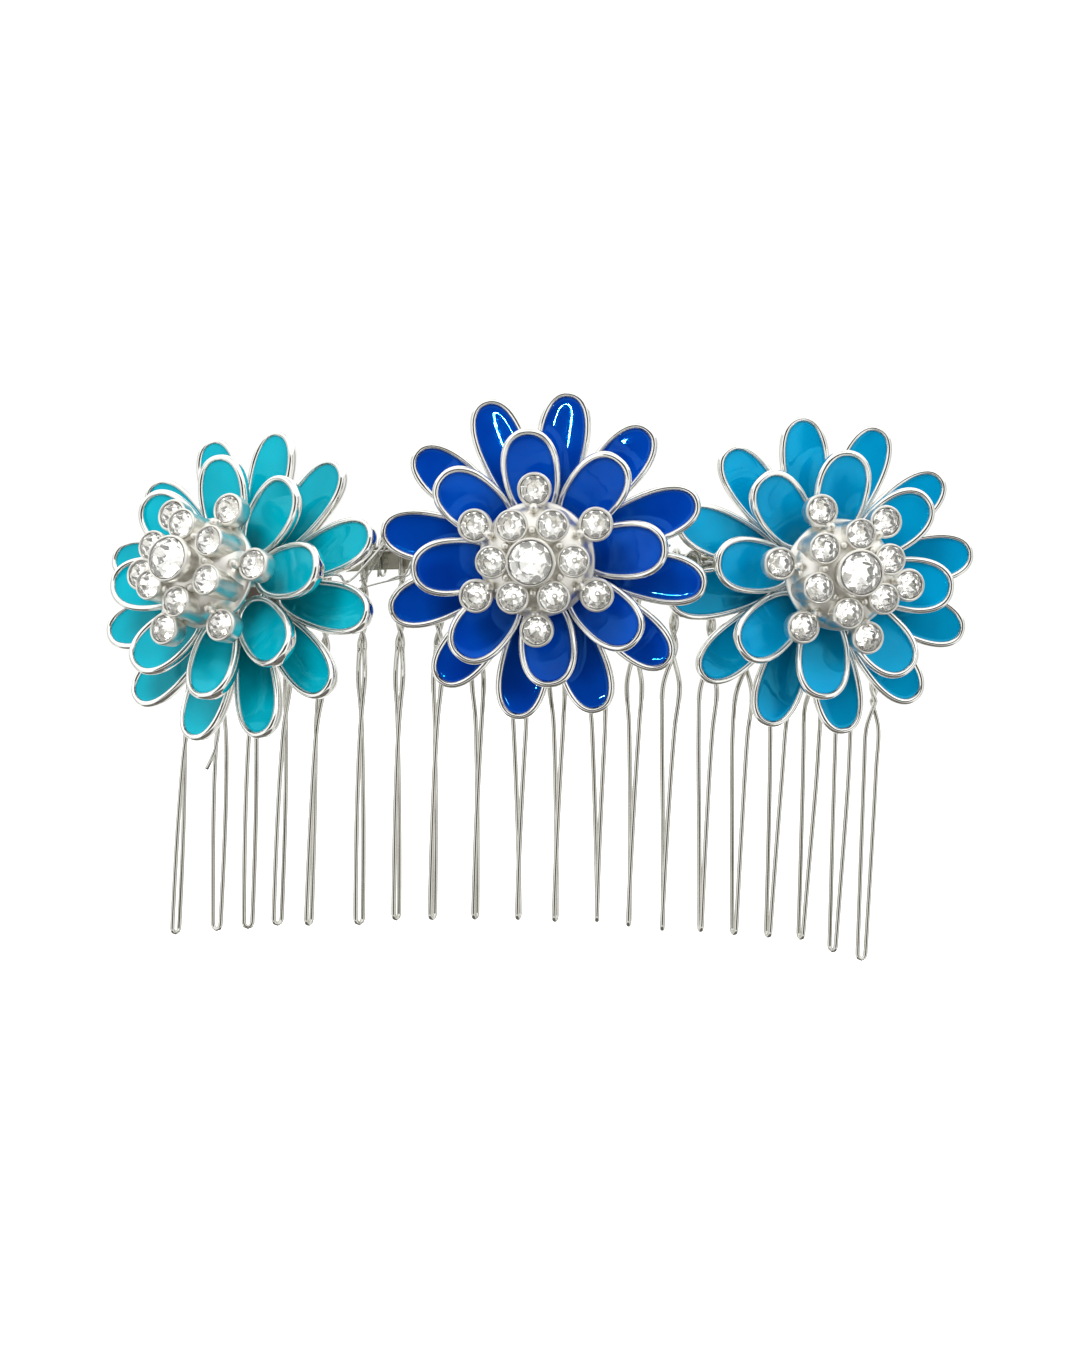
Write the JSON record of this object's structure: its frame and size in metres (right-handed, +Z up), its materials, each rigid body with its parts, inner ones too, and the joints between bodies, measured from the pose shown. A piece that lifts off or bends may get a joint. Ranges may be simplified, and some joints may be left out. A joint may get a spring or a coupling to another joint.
{
  "type": "decorative hair comb",
  "caption": "Twisted-wire hair comb with a curved flat spine and three enamelled two-layer flowers, each with a crystal-set centre, lashed along its front.",
  "frame": {"origin": "middle of the spine, at the centre of its flat strip, where the comb holds on to the hair", "axes": "+X along the comb to the wearer's left as seen from the front, -Y out through the flowers, +Z up with the teeth pointing down"},
  "size_m": [0.0975, 0.0298, 0.0622],
  "materials": {
    "spine_strip": "bright silver-plated flat strip",
    "tooth_wire": "bright silver-plated round wire",
    "lashing_wire": "bright fine craft wire",
    "cast_metal": "polished bright-plated casting",
    "left_enamel": "glossy teal enamel in a bright-plated casting",
    "middle_enamel": "glossy royal blue enamel in a bright-plated casting",
    "right_enamel": "glossy cerulean enamel in a bright-plated casting",
    "crystal": "clear faceted foil-backed crystal"
  },
  "bodies": {
    "root": {"spine": "spine_strip", "tooth_01": "tooth_wire", "tooth_02": "tooth_wire", "tooth_03": "tooth_wire", "tooth_04": "tooth_wire", "tooth_05": "tooth_wire", "tooth_06": "tooth_wire", "tooth_07": "tooth_wire", "tooth_08": "tooth_wire", "tooth_09": "tooth_wire", "tooth_10": "tooth_wire", "tooth_11": "tooth_wire", "tooth_12": "tooth_wire", "tooth_13": "tooth_wire", "tooth_14": "tooth_wire", "tooth_15": "tooth_wire", "tooth_16": "tooth_wire", "tooth_17": "tooth_wire", "tooth_18": "tooth_wire", "tooth_19": "tooth_wire", "tooth_20": "tooth_wire", "left_lashing_wire": "lashing_wire", "left_outer_petals": "left_enamel", "left_inner_petals": "left_enamel", "left_rivet": "cast_metal", "left_setting": "cast_metal", "left_centre_stone": "crystal", "left_ring_stone_1": "crystal", "left_ring_stone_2": "crystal", "left_ring_stone_3": "crystal", "left_ring_stone_4": "crystal", "left_ring_stone_5": "crystal", "left_ring_stone_6": "crystal", "middle_lashing_wire": "lashing_wire", "middle_outer_petals": "middle_enamel", "middle_inner_petals": "middle_enamel", "middle_rivet": "cast_metal", "middle_setting": "cast_metal", "middle_centre_stone": "crystal", "middle_ring_stone_1": "crystal", "middle_ring_stone_2": "crystal", "middle_ring_stone_3": "crystal", "middle_ring_stone_4": "crystal", "middle_ring_stone_5": "crystal", "middle_ring_stone_6": "crystal", "right_lashing_wire": "lashing_wire", "right_outer_petals": "right_enamel", "right_inner_petals": "right_enamel", "right_rivet": "cast_metal", "right_setting": "cast_metal", "right_centre_stone": "crystal", "right_ring_stone_1": "crystal", "right_ring_stone_2": "crystal", "right_ring_stone_3": "crystal", "right_ring_stone_4": "crystal", "right_ring_stone_5": "crystal", "right_ring_stone_6": "crystal"}
  },
  "joints": []
}
